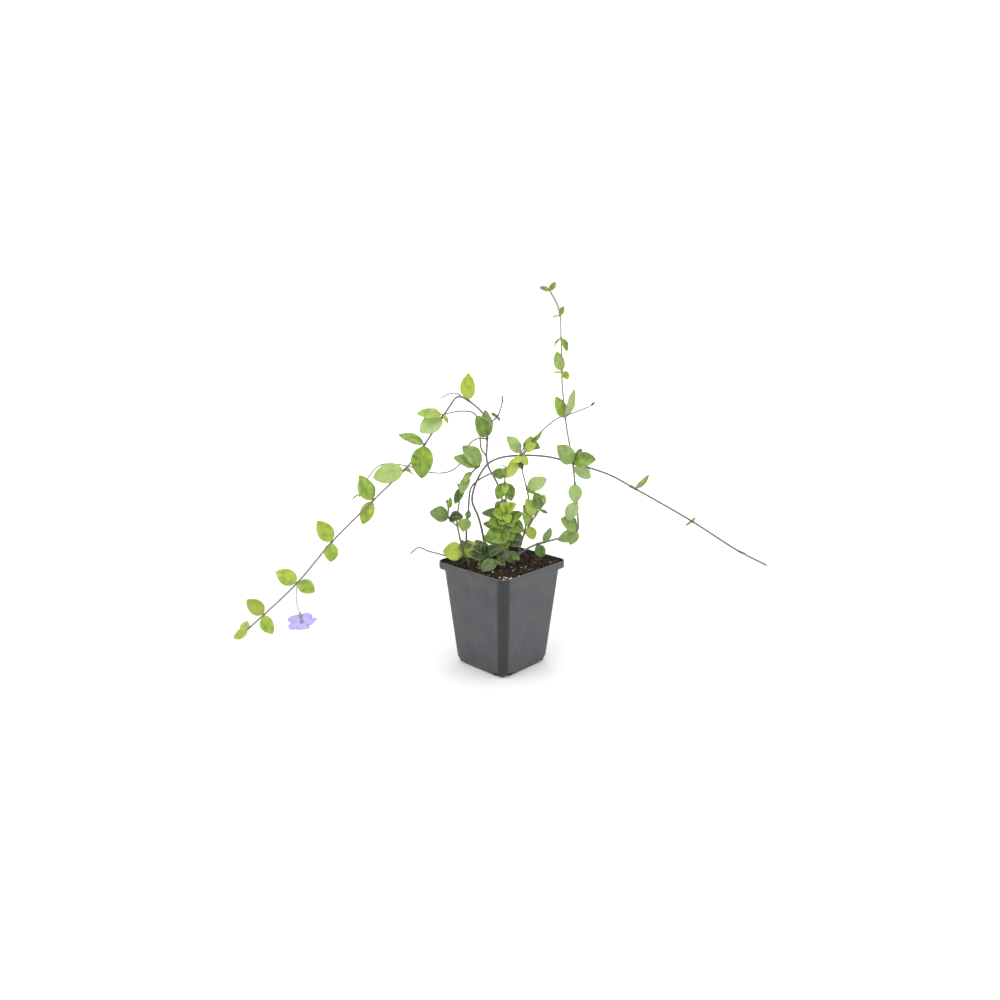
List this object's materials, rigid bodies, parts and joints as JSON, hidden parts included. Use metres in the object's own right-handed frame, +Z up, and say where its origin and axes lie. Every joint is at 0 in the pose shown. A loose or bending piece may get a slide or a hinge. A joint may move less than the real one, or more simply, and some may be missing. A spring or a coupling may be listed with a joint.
{
  "type": "potted lesser periwinkle",
  "caption": "Square dark nursery pot filled with peat, with a lesser periwinkle: arching and trailing leafy runners, a low leafy crown and a nodding violet flower.",
  "frame": {"origin": "centre of the pot's base, on the surface it stands on", "axes": "+Z up; X and Y square to the pot's sides; the pictured front corner of the pot lies towards +X -Y, and the long runners spread along the other diagonal"},
  "size_m": [0.3181, 0.4343, 0.3737],
  "materials": {
    "pot": "dark grey moulded polypropylene with a satin sheen, faint upright scuffs and peat dust on the rim",
    "soil": "moist dark peat with brown fibres, bark crumbs and a few white perlite grains",
    "foliage_young": "young, bright yellow-green leathery leaves with a soft gloss, on thin green to brown stems",
    "foliage_mature": "mid-green leathery leaves, paler beneath, on thin grey-brown stems",
    "foliage_old": "old, dark blue-green leathery leaves with pale midribs, on thin brown stems",
    "petal": "soft, thin, light blue-violet petals, paler towards the middle"
  },
  "bodies": {
    "root": {"pot": "pot", "soil": "soil", "runner_left": "foliage_young", "runner_right": "foliage_mature", "runner_up": "foliage_mature", "runner_back": "foliage_mature", "shoot_middle": "foliage_mature", "shoot_left": "foliage_old", "shoot_low_left": "foliage_young", "shoot_front": "foliage_old", "crown_bunch": "foliage_young", "shoot_back": "foliage_old", "flower": "petal"}
  },
  "joints": []
}
